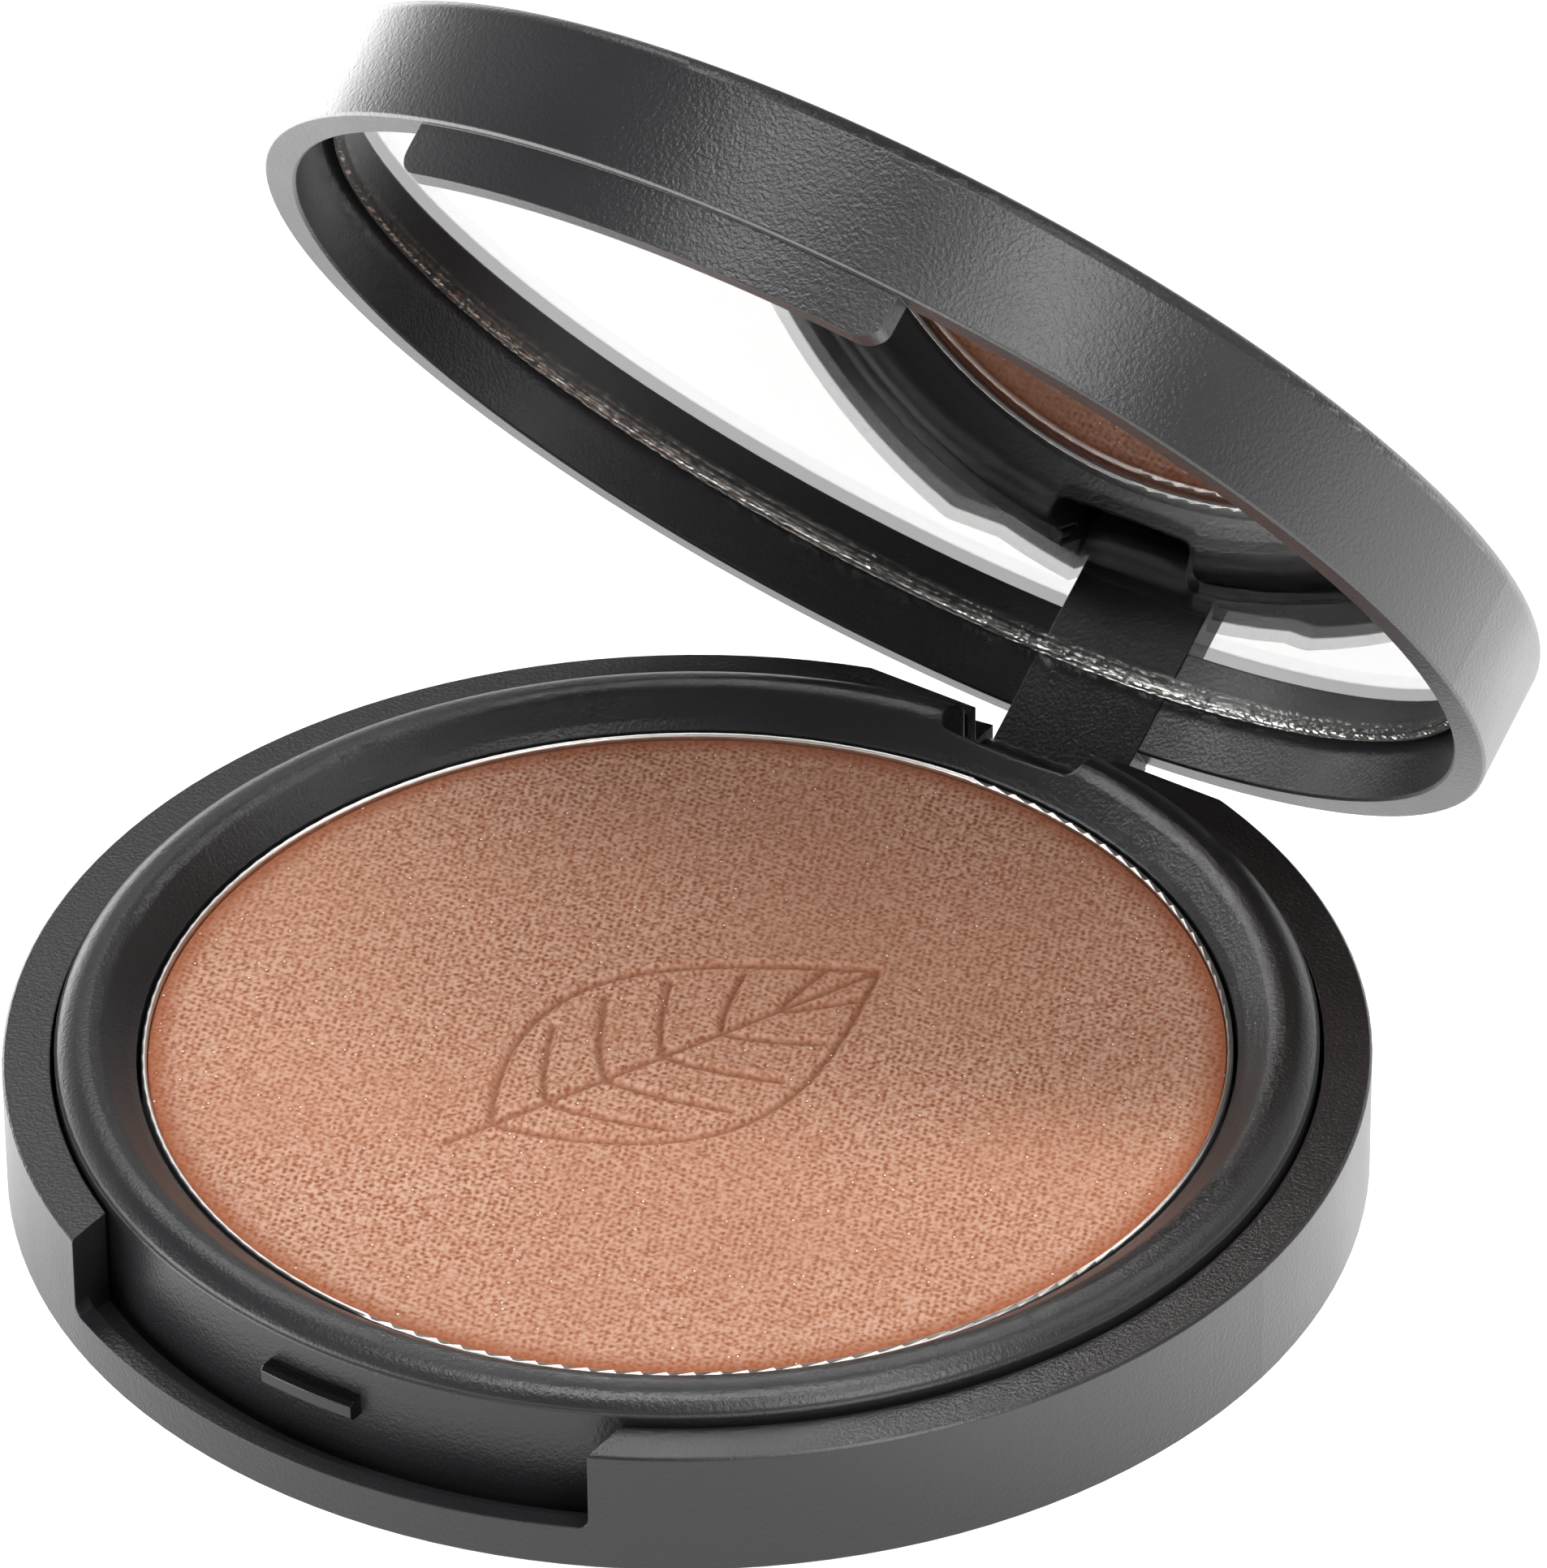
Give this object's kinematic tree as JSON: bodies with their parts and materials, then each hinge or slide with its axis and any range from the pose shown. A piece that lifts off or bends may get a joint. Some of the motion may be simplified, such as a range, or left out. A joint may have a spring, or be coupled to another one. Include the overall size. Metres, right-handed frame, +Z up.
{
  "type": "powder compact",
  "caption": "Round flat compact with a hinged lid that holds a mirror, a raised ring round a metal pan of pressed powder, a thumb recess and a snap tab.",
  "frame": {"origin": "centre of the round base on its flat underside", "axes": "+Z up out of the base, +Y from the centre to the hinge, +X along the hinge line, to the right of a person who faces the thumb recess"},
  "size_m": [0.074, 0.0819, 0.068],
  "materials": {
    "case_plastic": "satin, fine spark-eroded grain",
    "frame_plastic": "satin, fine spark-eroded grain",
    "catch_plastic": "gloss",
    "pin_steel": "drawn wire",
    "label_film": "matt film, unprinted",
    "foam_tape": "double-sided foam tape",
    "pan_metal": "bright rolled sheet",
    "pressed_powder": "matt pressed powder with a woven imprint and fine sparkle",
    "mirror_glass": "silvered float glass with a cut edge"
  },
  "bodies": {
    "base": {"base_shell": "case_plastic", "inner_frame": "frame_plastic", "latch_catch": "catch_plastic", "hinge_pin": "pin_steel", "base_label": "label_film", "pan_adhesive": "foam_tape", "pan": "pan_metal", "powder": "pressed_powder"},
    "lid": {"lid_shell": "case_plastic", "mirror_adhesive": "foam_tape", "mirror": "mirror_glass"}
  },
  "joints": [
    {"name": "lid_hinge", "type": "hinge", "parent": "base", "child": "lid", "pos_m": [0, 0.03485, 0.0035], "axis": [-1, 0, 0], "range_deg": [-54.4, 40.6]}
  ]
}
